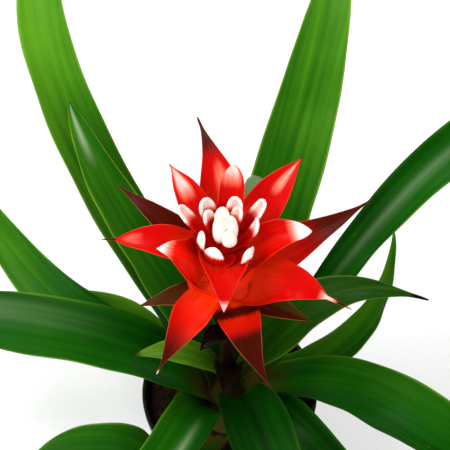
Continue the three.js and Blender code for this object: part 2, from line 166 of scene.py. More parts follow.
BRACT = dict(LEAF, thick=1.1, margin=0.2, widest=0.42, full=1.1, tail=0.5, cup=0.6, axis=FLOWER_X,
    wave=0.25, waves=1.4, stations=84, across=20, dark=None, sheath=0.36, lap=(0.2, 0.2), skirt=(3, 3),
    shade=(0.5, 0, 0))
# On the star bracts and hoods, shade lifts the scarlet towards the sunlit red: painted light
STAR_BRACTS = {
    "star_bract_01": row((178, 4.5, 296), (178, 14, 306), (178, 26, 308), (180, 41, 298), half=12,
        wrap=0.95, cup=0.8, widest=0.3, full=1.1, tail=0.9, sheath=0.65, lap=(0.8, 0.8), skirt=(1, 1),
        pale=(0.86, 1.2, 0.07, 0.72, 1.2, 0), shade=(0.4, 0.2, 0)),
    "star_bract_02": row((8, 5, 294), (16, 13, 320), (12, 26, 334), (8, 42, 326), half=8.4, wrap=0.95,
        cup=0.8, full=0.8, tail=0.8, pale=(0.76, 1.2, 0.16, 0.72, 0.95, -0.1), shade=(0.4, 0, 0)),
    "star_bract_03": row((-34, 6.5, 288), (-44, 20, 311), (-36, 38, 322), (-33, 60, 314), half=10, wrap=0.8,
        tail=0.9, nib=(0.07, 0.1), pale=(0.6, 0.97, 0.13, 0.7, 0.6, -0.1), dark=(0.975, 0.02, 0.9)),
    "star_bract_04": row((-108, 6.5, 284), (-126, 19, 299), (-108, 25, 314), (-97, 39, 308), half=12.5,
        wrap=1.05, cup=0.8, tail=0.9, sheath=0.7, lap=(1.1, 0.2), skirt=(24, 4), hem=(0.46, 0.86),
        barrel=23, pale=(0.83, 1.2, 0.13, 0.9, 1.3, 0), shade=(0.8, 0, -0.2)),
    "star_bract_05": row((80, 5, 290), (92, 19, 305), (82, 34, 313), (81, 52, 306), half=11.5, wrap=0.95,
        cup=0.8, full=0.8, tail=0.8, sheath=0.5, lap=(0.1, 0.9), skirt=(3, 10),
        pale=(0.77, 1.2, 0.11, 0.9, 1.3, 0)),
    # pale on star_bract_06, 07 and 08 is a painted sheen where light glints, not a pale tip
    "star_bract_06": row((40, 6.5, 286), (54, 22, 305), (42, 45, 318), (40, 74, 312), half=13, wrap=0.8,
        full=1, tail=0.8, nib=(0.05, 0.08), pale=(0.6, 0.95, 0.1, 0.55, 0.32, 0.05),
        dark=(0.965, 0.02, 0.9), shade=(0.3, 0, 0)),
    "star_bract_07": row((-80, 8, 280), (-74, 21, 302), (-87, 43, 306), (-85, 72, 300), half=12, wrap=0.8,
        full=0.8, tail=0.7, nib=(0.13, 0.09), pale=(0.66, 0.84, 0.08, 0.3, 0.6, 0.1), dark=(0.875, 0.02, 1),
        shade=(0.35, 0.2, 0)),
    "star_bract_08": row((-6, 8, 280), (6.7, 29.8, 306), (-7.3, 61.2, 314), (-10.2, 92.6, 306), half=13.8,
        wrap=0.8, full=1.6, tail=0.3, nib=(0.05, 0.06), pale=(0.34, 0.6, 0.12, 0.42, 0.4, 0.25),
        dark=(0.68, 0.17, 1), shade=(0.25, 0, 0)),
    "star_bract_09": row((114, 6.5, 284), (121, 23, 295), (117, 54, 300), (114, 81, 286), half=13, wrap=0.8,
        full=0.95, tail=0.9, nib=(0.22, 0.11), sheath=0.5, lap=(0.1, 1.6), skirt=(2, 20), barrel=23,
        pale=(0.74, 0.86, 0.05, 0.75, 0.9, 0.15), dark=(0.84, 0.03, 1), shade=(0.35, 0.1, -0.2)),
    "star_bract_10": row((-152, 6.5, 282), (-154.5, 20, 277), (-154.5, 44, 299), (-148, 74, 262), half=12,
        wrap=1.05, lap=(0.3, 0.3), widest=0.6, full=1.05, tail=0.4, nib=(0.06, 0.07),
        pale=(0.96, 1.2, 0.02, 0.9, 1.3, 0), dark=(0.62, 0.32, 1), shade=(0.6, -0.4, -0.2)),
    "star_bract_11": row((76, 8, 277), (84, 28.7, 288), (76.4, 61.6, 296), (65.6, 98.1, 290), half=14.1,
        wrap=0.8, full=1.2, tail=0.25, nib=(0.05, 0.06), lap=(0.1, 0.5), skirt=(2, 8), dark=(0.5, 0.3, 1),
        shade=(0.2, 0, 0)),
    # star_bract_12's gloom is a painted shadow, cast on its foot by the collar of sheaths above
    "star_bract_12": row((167, 8, 276), (160, 25, 268), (170, 52, 292), (158.5, 74, 256), half=14, wrap=0.8,
        widest=0.38, full=1.05, tail=0.5, nib=(0.06, 0.06), dark=(0.5, 0.1, 1),
        gloom=(0.25, 0.35, 0.045, 1), shade=(0.5, 0, 0.1)),
    "star_bract_13": row((-52, 9.5, 268), (-55, 25, 287), (-56, 52, 294), (-51, 84, 288), half=11, wrap=0.7,
        full=1.2, tail=0.4, nib=(0.05, 0.06), dark=(0.2, 0.2, 1), shade=(0.3, 0, 0)),
    "star_bract_14": row((-116, 9.5, 264), (-134, 20, 270), (-118, 34, 274), (-109, 54, 262), half=9,
        wrap=0.7, dark=(0, 0.2, 1), shade=(0.75, 0, 0)),
    "star_bract_15": row((122, 9.5, 262), (132, 20, 268), (127, 37, 270), (117, 59, 260), half=11.5,
        wrap=0.7, dark=(0, 0.2, 1), shade=(0.8, 0, -0.4)),
}
HOOD = dict(LEAF, thick=2.1, margin=0.6, widest=0.5, full=0.62, tail=0.35, cup=0.85, axis=FLOWER_X, wave=0,
    stations=56, across=20, crowd=2.2, dark=None, pale=(0.7, 1.4, 0.1, 1, 1.6, 0), shade=(0.4, 0, 0))
INNER_BRACTS = {
    "inner_bract_01": row((-45, 3.4, 304), (-46, 9, 312), (-46, 16.5, 324), (-46, 12.5, 326), half=4.2),
    "inner_bract_02": row((38, 3.4, 304), (38, 9, 313), (38, 17, 325), (36, 13.5, 327), half=3.8),
    "inner_bract_03": row((-150, 3.6, 298), (-154, 15, 299), (-153, 18, 313), (-153, 10, 315.5), half=6.6,
        widest=0.62, full=0.5, tail=0.4, cup=0.6, pale=(0.79, 1.4, 0.06, 1, 1.6, 0)),
    "inner_bract_04": row((-34, 3.6, 302), (-35, 12, 312), (-36, 23, 327), (-36, 17.5, 330), half=5.4),
    "inner_bract_05": row((24, 3.6, 302), (25, 11, 312), (25, 21, 328), (25, 16, 331), half=5.2),
    "inner_bract_06": row((82, 3.6, 300), (86, 12, 305), (84, 21.5, 316), (68, 20, 322), half=3.8),
    "inner_bract_07": row((-96, 3.6, 300), (-100, 12, 302), (-102, 18, 313), (-97, 11.5, 319), half=6,
        widest=0.62, full=0.5, tail=0.4, cup=0.7),
    "inner_bract_08": row((118, 3.6, 298), (124, 15, 299), (127, 22, 310), (122, 16.5, 314), half=6.6,
        widest=0.62, full=0.5, tail=0.4, cup=0.6, pale=(0.76, 1.4, 0.07, 1, 1.6, 0)),
    "inner_bract_09": row((-62, 4.2, 297), (-61, 16, 307), (-60, 33, 321), (-60, 28.5, 323), half=4),
    "inner_bract_10": row((54, 4.2, 297), (54, 16, 308), (54, 31, 323), (54, 28, 326), half=4.3),
    "inner_bract_11": row((176, 3.8, 297), (176, 8, 302), (177, 12, 305), (178, 16, 304), half=7, full=0.9,
        tail=0.9, widest=0.4, cup=0.75, thick=1.2, crowd=1, pale=None, shade=(0.35, 0, 0)),
}
# Buds: (x from the flower's axis, y, height of the middle, radius, half height, lean in degrees)
BUDS = {
    "bud_01": (-0.8, 7.4, 322, 4.6, 7, -20),
    "bud_02": (-2.3, 0.8, 320, 4.2, 9.5, -18),
    "bud_03": (3.8, 2.4, 318.5, 4.5, 9.1, -14),
    "bud_04": (3.1, -4.2, 318, 4.5, 5.9, 0),
}
BUD_RINGS, BUD_SIDES, BUD_SEPALS = 36, 48, 3

# ---------------------------------------------------------------- stage
# Lamps: (name, place in metres, width in metres, watts, what it lights: matt colour or gloss)
LAMPS = (
    ("back_window", (-0.5, 1.5, 1.9), 1.2, 30, "matt"),
    ("key_window", (-1.3, -0.2, 1.7), 1.0, 21, "matt"),
    ("front_fill", (0.9, -1.3, 1.3), 1.2, 12, "matt"),
    ("back_gleam", (-0.3, 1.5, 1.7), 0.55, 9, "gloss"),
    ("left_gleam", (-1.4, 0.5, 1.5), 0.6, 6, "gloss"),
)
LAMPS_AIM = Vector((0, 0, 0.25))
ROOM_LIGHT, ROOM_IN_GLOSS = 0.62, 0.02
FLOOR_HALF, SENSOR = 6.0, 36
CAMERA_AIM = Vector((-3.3, 0, 326)) * MM


# ---------------------------------------------------------------- settings
def length(name, about, value):
    return FloatProperty(name=name, description=about, unit="LENGTH", subtype="DISTANCE", default=value)


def count(name, about, value):
    return IntProperty(name=name, description=about, default=value, min=0)


def colours(**rows):
    """Colour properties from (what has the colour, its value), each named after its key."""
    return {key: FloatVectorProperty(name=key.replace("_", " ").title(), description="Colour of " + about,
                                     subtype="COLOR", size=3, min=0, max=1, default=value)
            for key, (about, value) in rows.items()}


class PotSettings(bpy.types.PropertyGroup):
    rim_radius: length("Rim Radius", "Outer radius of the pot's rim", RIM_R * MM)
    crumbs: count("Crumbs", "How many crumbs of peat lie on a square metre of soil", 270000)
    chips: count("Chips", "How many chips of bark lie on a square metre of soil", 9000)
    __annotations__.update(colours(
        plastic=("the pot", (0.016, 0.01, 0.007)),
        dust=("the dust smeared on the pot", (0.045, 0.034, 0.025)),
        splash=("the soil splashed on the pot", (0.07, 0.05, 0.033)),
        peat=("moist peat", (0.02, 0.011, 0.006)),
        dry_peat=("peat that has dried on top", (0.045, 0.024, 0.012)),
        bark=("the chips of bark", (0.1, 0.052, 0.022)),
        grit=("light specks in the soil", (0.11, 0.07, 0.04)),
    ))


class FoliageSettings(bpy.types.PropertyGroup):
    __annotations__ = colours(
        # deep, green and fresh follow a leaf's shade, so they paint its light and shade as well as its tone
        deep=("a leaf in its darkest parts", (0.0012, 0.024, 0.0002)),
        green=("most of a leaf", (0.004, 0.082, 0.0004)),
        fresh=("a leaf in its lightest parts", (0.1, 0.31, 0.008)),
        # margin: painted light coming through the leaves' thin edges
        margin=("a leaf's thin margin", (0.22, 0.4, 0.03)),
        under=("the undersides", (0.035, 0.11, 0.003)),
        # painted sheen: the grey-green gloss where light glints along some leaves
        bloom=("the pale bloom on some leaves", (0.24, 0.36, 0.17)),
        scar=("small scars on a leaf", (0.16, 0.22, 0.04)),
        sheath=("a leaf's brown foot", (0.08, 0.06, 0.008)),
        # the stalk leaves' greens follow their shade too, so they paint light and shade as well as tone
        stalk_deep=("the darker green of stalk leaves", (0.009, 0.06, 0.001)),
        stalk_fresh=("the lighter green of stalk leaves", (0.085, 0.2, 0.006)),
        # stalk_margin: painted light coming through the thin edges
        stalk_margin=("the margins of stalk leaves", (0.16, 0.24, 0.02)),
        stalk_under=("the undersides of stalk leaves", (0.1, 0.18, 0.02)),
        # near_black: painted shade on the stalk leaves that sit deep in the crown
        near_black=("the darker brown of stalk leaves", (0.006, 0.002, 0.0006)),
        red_brown=("the lighter brown of stalk leaves", (0.04, 0.006, 0.002)),
        stem_deep=("darker streaks of the stem", (0.02, 0.035, 0.002)),
        stem_fresh=("lighter streaks of the stem", (0.055, 0.062, 0.005)),
        stem_brown=("the stalk under the flower", (0.018, 0.006, 0.0015)),
    )


class FlowerSettings(bpy.types.PropertyGroup):
    __annotations__ = colours(
        scarlet=("the star bracts", (0.56, 0.0006, 0.0002)),
        flame=("sunlit streaks", (0.86, 0.011, 0.0004)),
        ember=("the sheaths, where light comes through", (0.98, 0.075, 0.008)),
        vein=("deeper red streaks", (0.42, 0.0008, 0.0002)),
        # red_margin: painted light coming through the red bracts' thin edges
        red_margin=("the red bracts' thin margin", (0.98, 0.16, 0.06)),
        maroon=("the dark bracts and tips", (0.058, 0.004, 0.001)),
        olive=("the dark bracts where they turn green", (0.05, 0.04, 0.002)),
        wine=("fine streaks in the dark bracts", (0.15, 0.008, 0.002)),
        # dark_margin: painted light coming through the dark bracts' thin edges
        dark_margin=("the dark bracts' thin margin", (0.42, 0.14, 0.06)),
        blush=("the skin between the red and the pale tips", (0.95, 0.17, 0.11)),
        white=("the pale tips", (0.98, 0.76, 0.72)),
        hood_white=("the brightest part of the hoods", (0.99, 0.9, 0.86)),
        cream=("the buds", (0.98, 0.95, 0.85)),
        bud_foot=("a bud's foot", (0.95, 0.4, 0.22)),
        bud_tip=("a bud's tip", (0.62, 0.7, 0.34)),
        bud_seam=("the seams of a bud", (0.72, 0.55, 0.3)),
    )


class StageSettings(bpy.types.PropertyGroup):
    distance: length("Distance", "How far the camera stands from the flower", 0.75)
    elevation: FloatProperty(name="Elevation", description="How steeply the camera looks down",
                             unit="ROTATION", subtype="ANGLE", default=math.radians(58))
    lens: FloatProperty(name="Lens", description="Focal length in millimetres", default=105.84)
    __annotations__.update(colours(floor=("the floor", (0.9, 0.9, 0.9)),
                                   haze=("faint clouds in the floor", (0.88, 0.88, 0.9))))


# ---------------------------------------------------------------- nodes and materials
class Value:
    """One output socket. Sums, differences and products of values add Math nodes."""

    def __init__(self, nodes, socket):
        self.nodes, self.socket = nodes, socket

    def math(self, operation, first, second):
        return self.nodes.node("ShaderNodeMath", {"operation": operation}, {0: first, 1: second})

    __add__ = lambda self, other: self.math("ADD", self, other)
    __radd__ = lambda self, other: self.math("ADD", other, self)
    __sub__ = lambda self, other: self.math("SUBTRACT", self, other)
    __rsub__ = lambda self, other: self.math("SUBTRACT", other, self)
    __mul__ = lambda self, other: self.math("MULTIPLY", self, other)
    __rmul__ = lambda self, other: self.math("MULTIPLY", other, self)


class Nodes:
    """A node tree, built by one method."""

    def __init__(self, tree):
        self.tree = tree

    def node(self, kind, settings=None, inputs=None, output=0):
        """Add a node: its settings first, then the value or link of each socket. Gives one output."""
        made = self.tree.nodes.new(kind)
        for key, value in (settings or {}).items():
            setattr(made, key, value)
        for key, value in (inputs or {}).items():
            self.feed(made.inputs[key], value)
        return Value(self, made.outputs[output]) if made.outputs else None

    def feed(self, socket, value):
        if isinstance(value, Value):
            self.tree.links.new(value.socket, socket)
        elif socket.type == "RGBA":
            socket.default_value = (*value[:3], 1)
        else:
            socket.default_value = value


class Finish(Nodes):
    """A material, with its shader's constants set at the start and its varying values at the end."""

    def __init__(self, name, **constants):
        self.material = bpy.data.materials.new(name)
        self.material.use_nodes = True
        super().__init__(self.material.node_tree)
        self.tree.nodes.clear()
        self.shader = self.tree.nodes.new("ShaderNodeBsdfPrincipled")
        output = self.tree.nodes.new("ShaderNodeOutputMaterial")
        self.tree.links.new(self.shader.outputs[0], output.inputs[0])
        self.done(**constants)

    def done(self, **values):
        for socket, value in values.items():
            self.feed(self.shader.inputs[socket.replace("_", " ")], value)
        return self.material

    def fields(self, *names):
        return [self.node("ShaderNodeAttribute", {"attribute_name": name}, output="Fac") for name in names]

    def edge(self):
        """0 at the blade's middle, 1 at its margins."""
        return self.node("ShaderNodeMath", {"operation": "ABSOLUTE"}, {0: self.fields("across")[0]})

    def object_place(self):
        return self.node("ShaderNodeTexCoord", output="Object")

    def noise(self, place, scale, detail, rough):
        settings = {"Vector": place, "Scale": scale, "Detail": detail, "Roughness": rough}
        return self.node("ShaderNodeTexNoise", None, settings, "Fac")

    def speckle(self, scale, detail=2, rough=0.5):
        """Noise through the object, with so many cells to the metre."""
        return self.noise(self.object_place(), scale, detail, rough)

    def stretched(self, place, scale, detail=3, rough=0.6):
        mapping = self.node("ShaderNodeMapping", None, {"Vector": place, "Scale": scale})
        return self.noise(mapping, 1, detail, rough)

    def streaks(self, across, along, detail=3, rough=0.6):
        """Streaks on the blade's own map, with so many cells to the metre across and along it."""
        place = self.node("ShaderNodeUVMap", {"uv_map": "grain"})
        return self.stretched(place, (across, along, 1), detail, rough)

    def step(self, value, low, high):
        """0 below low, 1 above high, and a soft step between."""
        return self.node("ShaderNodeMapRange", {"interpolation_type": "SMOOTHSTEP"},
                         {"Value": value, "From Min": low, "From Max": high})

    def mix(self, amount, first, second):
        return self.node("ShaderNodeMix", {"data_type": "RGBA"}, {0: amount, 6: first, 7: second}, 2)

    def bump(self, height, distance, strength=0.5):
        inputs = {"Height": height, "Distance": distance, "Strength": strength}
        return self.node("ShaderNodeBump", None, inputs)


def sway(value, amount):
    """Noise about 0, so that it shifts a threshold both ways."""
    return (value - 0.5) * amount


def leaf_finish(look):
    f = Finish("leaf_skin", Specular_IOR_Level=0.08)
    along, shade, under, pale = f.fields("along", "shade", "under", "pale")
    fine, broad, cloud = f.streaks(1400, 14), f.streaks(230, 6, 2, 0.5), f.speckle(15)
    # light: the leaf's shade, which paints light and shade on it, with streaks and clouds of its own tone
    light = shade + sway(broad, 0.42) + sway(cloud, 0.4) + sway(fine, 0.10)
    skin = f.mix(f.step(light, 0.02, 0.42), look.deep, look.green)
    skin = f.mix(f.step(light, 0.32, 1.12), skin, look.fresh)
    # the thin margins lighter where the leaf is lit: painted light coming through the edge
    rim = f.step(f.edge() + sway(broad, 0.08), 0.93, 1) * (0.15 + 0.45 * f.step(along, 0.15, 0.6))
    skin = f.mix(rim * f.step(light, 0.1, 0.6), skin, look.margin)
    skin = f.mix(under * 0.30, skin, look.under)
    # painted sheen: gloss bands where light glints along some leaves, set by their pale field
    skin = f.mix(pale * (0.75 + sway(broad, 0.5)), skin, look.bloom)
    foot = 1 - f.step(along + sway(broad, 0.10), 0.01, 0.13)
    skin = f.mix(foot * 0.85, skin, look.sheath)
    scars = f.step(f.streaks(260, 90, 2, 0.4), 0.74, 0.79)
    skin = f.mix(scars * 0.2, skin, look.scar)
    height = fine * 0.6 + broad * 0.8 + 0.15 * f.speckle(1500, 1)
    return f.done(Base_Color=skin, Roughness=0.28 + 0.14 * fine + 0.12 * cloud,
                  Normal=f.bump(height, 0.00022, 0.55))


def stalk_leaf_finish(look):
    f = Finish("stalk_leaf_skin", Specular_IOR_Level=0.12)
    along, shade, under, dark = f.fields("along", "shade", "under", "dark")
    fine, broad = f.streaks(1500, 18), f.streaks(320, 12, 2, 0.5)
    # light: painted light and shade from the leaf's shade, with streaks of its own tone
    light = shade + sway(broad, 0.7) + sway(fine, 0.2)
    skin = f.mix(f.step(light, 0.1, 0.95), look.stalk_deep, look.stalk_fresh)
    # painted light coming through the thin margins
    skin = f.mix(f.step(f.edge(), 0.9, 1) * 0.4, skin, look.stalk_margin)
    skin = f.mix(under * 0.3, skin, look.stalk_under)
    skin = f.mix((1 - f.step(along, 0, 0.3)) * 0.5, skin, look.sheath)
    # where shade is low the brown is near black: painted shade on stalk_leaf_03 and 04
    brown = f.mix(f.step(shade + sway(broad, 0.6), 0.15, 0.75), look.near_black, look.red_brown)
    skin = f.mix(f.step(dark + sway(fine, 0.3), 0.2, 0.8), skin, brown)
    return f.done(Base_Color=skin, Roughness=0.36 + 0.14 * fine,
                  Normal=f.bump(fine * 0.6 + broad * 0.7, 0.0002))


def blushed(finish, reach, skin, look):
    """The red skin turning through blush to white as reach goes from 0 to 1."""
    skin = finish.mix(finish.step(reach, 0.10, 0.50), skin, look.blush)
    return finish.mix(finish.step(reach, 0.38, 0.95), skin, look.white)


def bract_finish(look):
    f = Finish("star_bract_skin", Specular_IOR_Level=0.05, Coat_Roughness=0.3)
    along, shade, under, pale, dark = f.fields("along", "shade", "under", "pale", "dark")
    fine, broad = f.streaks(2200, 40), f.streaks(620, 22, 2, 0.5)
    # painted light: shade, higher towards the foot, lifts the scarlet towards the sunlit red, with streaks
    # of the bract's own tone
    sunlit_level = shade - along * 0.45 + sway(broad, 0.9) + sway(fine, 0.4)
    skin = f.mix(f.step(sunlit_level, 0.05, 0.75) * 0.9, look.scarlet, look.flame)
    # painted light coming through the sheaths: the orange at the bracts' feet
    skin = f.mix((1 - f.step(along + sway(broad, 0.3), 0.1, 0.5)) * 0.6, skin, look.ember)
    skin = f.mix(f.step(broad, 0.52, 0.85) * 0.5, skin, look.vein)
    dusk = f.mix(f.step(shade + sway(broad, 0.5), 0.55, 1.05), look.maroon, look.olive)
    dusk = f.mix(f.step(fine, 0.4, 0.8) * 0.4, dusk, look.wine)
    veil = f.step(dark + sway(fine, 0.45) + sway(broad, 0.45), 0.12, 0.88)
    skin = f.mix(veil, skin, dusk)
    # the thin margins lighter: painted light coming through the edge
    rim = f.step(f.edge(), 0.945, 1) * f.step(along, 0.3, 0.6)
    skin = f.mix(rim * veil * 0.7, skin, look.dark_margin)
    skin = f.mix(rim * (1 - veil) * 0.28, skin, look.red_margin)
    # the pale tips, turning through blush to white; on star_bract_06, 07 and 08 this is a painted sheen
    skin = blushed(f, pale + sway(fine, 0.65) * f.step(pale, 0, 0.35), skin, look)
    # painted light on the undersides: a quarter of the way to the sunlit red, or to the dark tip colour
    # under a dark tip
    skin = f.mix(under * 0.25, skin, f.mix(veil, look.flame, dusk))
    return f.done(Base_Color=skin, Roughness=0.30 + 0.14 * fine, Coat_Weight=0.01 + 0.05 * broad,
                  Normal=f.bump(fine * 0.6 + broad * 0.6, 0.00014))


def hood_finish(look):
    f = Finish("inner_bract_skin", Specular_IOR_Level=0.2)
    shade, under, pale = f.fields("shade", "under", "pale")
    fine, broad = f.streaks(2600, 90), f.streaks(900, 60, 2, 0.5)
    # painted light: shade lifts the hood's red towards the sunlit red
    skin = f.mix(f.step(shade + sway(broad, 0.9), 0.35, 0.9) * 0.8, look.scarlet, look.flame)
    hollow = (1 - f.step(under, 0.2, 0.5)) * (1 - f.step(f.edge(), 0.45, 0.9))
    reach = pale * (1 - hollow * 0.34) + sway(fine, 0.3) + sway(broad, 0.2)
    skin = blushed(f, reach + 0.08, skin, look)
    skin = f.mix(f.step(reach, 0.6, 1) * 0.7, skin, look.hood_white)
    return f.done(Base_Color=skin, Roughness=0.32 + 0.12 * fine, Normal=f.bump(fine + broad, 0.0001))


def bud_finish(look):
    f = Finish("bud_skin", Specular_IOR_Level=0.35)
    (along, seam), mottle = f.fields("along", "seam"), f.speckle(420, 3)
    skin = f.mix(1 - f.step(along + sway(mottle, 0.25), 0.05, 0.30), look.cream, look.bud_foot)
    skin = f.mix(f.step(along + sway(mottle, 0.2), 0.86, 1) * 0.5, skin, look.bud_tip)
    skin = f.mix(seam * 0.3, skin, look.bud_seam)
    return f.done(Base_Color=skin, Roughness=0.34 + 0.12 * mottle, Normal=f.bump(mottle, 0.0001, 0.4))


def stem_finish(look, flower):
    f = Finish("stem_skin", Specular_IOR_Level=0.35)
    (along,), streak = f.fields("along"), f.stretched(f.object_place(), (900, 900, 25))
    skin = f.mix(f.step(streak, 0.3, 0.7), look.stem_deep, look.stem_fresh)
    skin = f.mix(1 - f.step(along, 0.12, 0.26), skin, look.sheath)
    skin = f.mix(f.step(along + sway(streak, 0.10), 0.22, 0.48), skin, look.stem_brown)
    skin = f.mix(f.step(along + sway(streak, 0.06), 0.74, 0.86), skin, flower.scarlet)
    return f.done(Base_Color=skin, Roughness=0.42 + 0.15 * streak, Normal=f.bump(streak, 0.0003))


def pot_finish(look):
    f = Finish("pot_plastic", Specular_IOR_Level=0.5)
    grain, smear = f.speckle(2600, 2, 0.6), f.stretched(f.object_place(), (34, 34, 7))
    dust = f.step(smear + sway(grain, 0.25), 0.52, 0.82)
    height = f.node("ShaderNodeSeparateXYZ", None, {"Vector": f.object_place()}, "Z")
    splash = f.step(f.speckle(160, 3, 0.6) + height * -1.2 + 0.05, 0.52, 0.62)
    skin = f.mix(dust * 0.35, look.plastic, look.dust)
    skin = f.mix(splash * 0.35, skin, look.splash)
    return f.done(Base_Color=skin, Roughness=0.36 + 0.2 * dust + 0.12 * grain,
                  Normal=f.bump(grain * 0.5 + smear, 0.00015))


def soil_finish(name, look, dry):
    """Moist peat with lumps of a drier colour and light grit."""
    f = Finish(name, Specular_IOR_Level=0.3)
    lump, grit = f.speckle(160, 3, 0.6), f.speckle(1300, 3, 0.7)
    skin = f.mix(f.step(lump, 0.35, 0.7), look.peat, dry)
    skin = f.mix(f.step(grit, 0.6, 0.8) * 0.5, skin, look.grit)
    return f.done(Base_Color=skin, Roughness=0.82 + 0.15 * grit,
                  Normal=f.bump(lump + grit * 0.6, 0.0012, 0.7))


def floor_finish(look):
    f = Finish("studio_floor", Roughness=0.75, Specular_IOR_Level=0.2)
    return f.done(Base_Color=f.mix(f.speckle(3) * 0.04, look.floor, look.haze))


# ---------------------------------------------------------------- mesh helpers
def smooth(x):
    x = np.clip(x, 0, 1)
    return x * x * (3 - 2 * x)


def window(x, low, high, soft):
    return smooth((x - low + soft) / (2 * soft)) * (1 - smooth((x - high + soft) / (2 * soft)))


def unit(rows):
    return rows / np.linalg.norm(rows, axis=1)[:, None]


def linked(name, mesh):
    made = bpy.data.objects.new(name, mesh)
    bpy.context.scene.collection.objects.link(made)
    return made


def mesh_object(name, points, faces, fields=None, grain=None):
    """A smooth closed mesh at the origin, with point fields and, on a blade, a map in its own metres."""
    mesh = bpy.data.meshes.new(name)
    mesh.from_pydata([tuple(p) for p in points], [], faces)
    mesh.update()
    for key, values in (fields or {}).items():
        mesh.attributes.new(key, "FLOAT", "POINT").data.foreach_set("value", np.asarray(values, np.float32))
    if grain is not None:
        layer = mesh.uv_layers.new(name="grain")
        corners = np.empty(len(mesh.loops), np.int32)
        mesh.loops.foreach_get("vertex_index", corners)
        layer.data.foreach_set("uv", np.asarray(grain, np.float32)[corners].ravel())
    whole = bmesh.new()
    whole.from_mesh(mesh)
    bmesh.ops.recalc_face_normals(whole, faces=whole.faces)
    whole.to_mesh(mesh)
    whole.free()
    mesh.shade_smooth()
    return linked(name, mesh)


def settle(piece, node, material):
    """The piece rides on the plant, stands for its node and takes its slot."""
    piece.data.materials.append(material)
    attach(piece, BODY)
    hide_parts(node)


def bake_modifiers(piece):
    """Put the piece's evaluated mesh in place of its modifiers."""
    graph = bpy.context.evaluated_depsgraph_get()
    mesh = bpy.data.meshes.new_from_object(piece.evaluated_get(graph))
    piece.modifiers.clear()
    piece.data = mesh


def ring(radius, height, sides):
    """Points of a level ring, in metres from millimetres."""
    turns = [TURN * k / sides for k in range(sides)]
    return [(radius * MM * math.cos(turn), radius * MM * math.sin(turn), height * MM) for turn in turns]


def ring_faces(rings):
    """Faces between neighbouring rings of point numbers. A ring of one point is a pole."""
    faces = []
    for low, high in zip(rings, rings[1:]):
        for k in range(max(len(low), len(high))):
            (a, b), (d, c) = ((side[k % len(side)], side[(k + 1) % len(side)]) for side in (low, high))
            faces.append(tuple(dict.fromkeys((a, b, c, d))))
    return faces


def turned(name, profile, sides):
    """A lathe of (radius, height) points in millimetres, with both ends on the axis."""
    points, rings = [], []
    for radius, height in profile:
        added = ring(radius, height, sides) if radius else [(0, 0, height * MM)]
        rings.append(range(len(points), len(points) + len(added)))
        points += added
    return mesh_object(name, points, ring_faces(rings))


def arc(x, z, r, start, end, steps):
    """Points of a round corner about (x, z), angles in degrees."""
    angles = [math.radians(start + (end - start) * k / steps) for k in range(steps + 1)]
    return [(x + r * math.cos(angle), z + r * math.sin(angle)) for angle in angles]


# ---------------------------------------------------------------- blades
NIB_LEAD = 0.8         # the taper ends this part of the nib's length before the tip
LEAST_HALF = 0.14      # half width of the very tip
WANDERS = ((0.018, 1.7), (0.012, 4.1))       # (depth, number) of the slow waves in a blade's width
RIPPLES = ((1, 1, 1.9), (0.45, 2.7, 0.8))    # (height, number, shift of the far margin) of the ripples
RIB_DEPTH, RIBS = 0.10, 3.5
CREASE, CREASE_HALF, FOLD_DEPTH = 0.35, 0.09, 3
KEEL, KEEL_HALF = 0.35, 0.12


def spine_of(spec, t):
    """Points and directions along the blade's cubic."""
    azimuth = np.radians([p[0] for p in spec["spine"]])
    reach = np.array([p[1] for p in spec["spine"]])
    height = [p[2] for p in spec["spine"]]
    p = np.stack([spec["axis"] + reach * np.sin(azimuth), reach * np.cos(azimuth), height], 1)
    s = t[:, None]
    at = (1 - s) ** 3 * p[0] + 3 * (1 - s) ** 2 * s * p[1] + 3 * (1 - s) * s * s * p[2] + s ** 3 * p[3]
    return at, unit((1 - s) ** 2 * (p[1] - p[0]) + 2 * (1 - s) * s * (p[2] - p[1]) + s * s * (p[3] - p[2]))


def width_of(spec, t, foot, past, phase):
    """Half the width along the blade, which swells from the foot, tapers and ends in a nib."""
    half, (nib_length, nib_width) = spec["half"], spec["nib"]
    taper = (1 - past) ** spec["full"] * (1 + spec["tail"] * past)
    wander = 1 + sum(depth * np.sin(TURN * times * t + turn) for (depth, times), turn in zip(WANDERS, phase))
    body = (foot + (half - foot) * smooth(t / spec["widest"])) * taper * wander
    nib = nib_width * half * np.sqrt(1 - t) / math.sqrt(max(nib_length, 1e-6)) * smooth(t / 0.5)
    return np.maximum(LEAST_HALF, np.hypot(body, np.minimum(nib, nib_width * half)))


def relief_of(spec, t, u, width, phase):
    """How far the sheet's middle rises from its section: ripples at the margins, a crease and fine ribs."""
    t, u, far = t[:, None], u[None, :], 1.0 * (u[None, :] > 0)
    ripple = sum(rise * np.sin(TURN * times * spec["waves"] * t + turn + shift * far)
                 for (rise, times, shift), turn in zip(RIPPLES, phase))
    crease = CREASE * (0.3 + spec["fold"] * FOLD_DEPTH) * np.exp(-((u / CREASE_HALF) ** 2)) * smooth(t / 0.2)
    ribs = RIB_DEPTH * spec["thick"] * np.cos(TURN * RIBS * u) * np.minimum(1, width / spec["half"])[:, None]
    return spec["wave"] * smooth(t / 0.3) * np.abs(u) ** 2.5 * ripple - crease + ribs


def drop_margins(spec, t, u, phi, mid):
    """Let the sheath's margins hang, and push them out to clear what lies under them."""
    start, end = spec["hem"]
    fade = smooth(t / 0.1) * (1 - smooth((t - start) / (end - start)))
    drop = np.where(u < 0, *spec["skirt"])[None, :] * smooth(np.abs(phi) / 0.6) * fade[:, None]
    spread = np.hypot(mid[..., 0] - spec["axis"], mid[..., 1])
    push = np.maximum(0, spec["barrel"] / spread - 1) * np.minimum(1, drop / 10)
    return mid + np.stack([(mid[..., 0] - spec["axis"]) * push, mid[..., 1] * push, -drop], -1)


